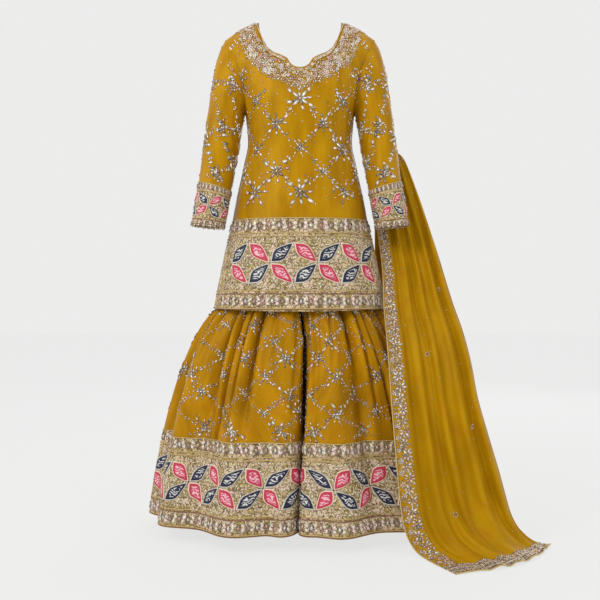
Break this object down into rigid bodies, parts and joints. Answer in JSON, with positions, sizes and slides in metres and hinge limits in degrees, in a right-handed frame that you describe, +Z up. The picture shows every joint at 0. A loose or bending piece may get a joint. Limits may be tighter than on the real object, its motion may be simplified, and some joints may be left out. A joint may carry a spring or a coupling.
{
  "type": "sharara suit",
  "caption": "Worn-form embroidered suit: long-sleeved tunic, gathered divided trousers with wide hem borders, and a scarf that hangs at the left arm.",
  "frame": {"origin": "middle of the shoulder line, at the height of the neck points", "axes": "+Z up, the front faces -Y, +X is the wearer's left"},
  "size_m": [1.0129, 0.704, 1.3375],
  "materials": {
    "kameez_silk": "mustard silk with a soft sheen, beads and sequins",
    "sharara_silk": "mustard silk with a soft sheen, beads and sequins",
    "dupatta_silk": "thin plain mustard silk",
    "border_embroidery": "dense cream and gold embroidery",
    "plain_cotton": "plain matt cotton"
  },
  "bodies": {
    "root": {"kameez_front": "kameez_silk", "kameez_back": "kameez_silk", "kameez_hem_border_front": "border_embroidery", "kameez_hem_border_back": "border_embroidery", "kameez_neck_band_front": "border_embroidery", "kameez_neck_band_back": "border_embroidery", "kameez_sleeve_right": "kameez_silk", "kameez_sleeve_left": "kameez_silk", "kameez_cuff_right": "border_embroidery", "kameez_cuff_left": "border_embroidery", "sharara_waistband": "plain_cotton", "sharara_yoke_front": "plain_cotton", "sharara_yoke_back": "plain_cotton", "sharara_leg_right_front": "sharara_silk", "sharara_border_right_front": "border_embroidery", "sharara_leg_right_back": "sharara_silk", "sharara_border_right_back": "border_embroidery", "sharara_leg_left_front": "sharara_silk", "sharara_border_left_front": "border_embroidery", "sharara_leg_left_back": "sharara_silk", "sharara_border_left_back": "border_embroidery", "dupatta_back_fall": "dupatta_silk", "dupatta_front_fall": "dupatta_silk", "dupatta_back_border": "border_embroidery", "dupatta_side_border": "border_embroidery", "dupatta_end_border": "border_embroidery"}
  },
  "joints": []
}
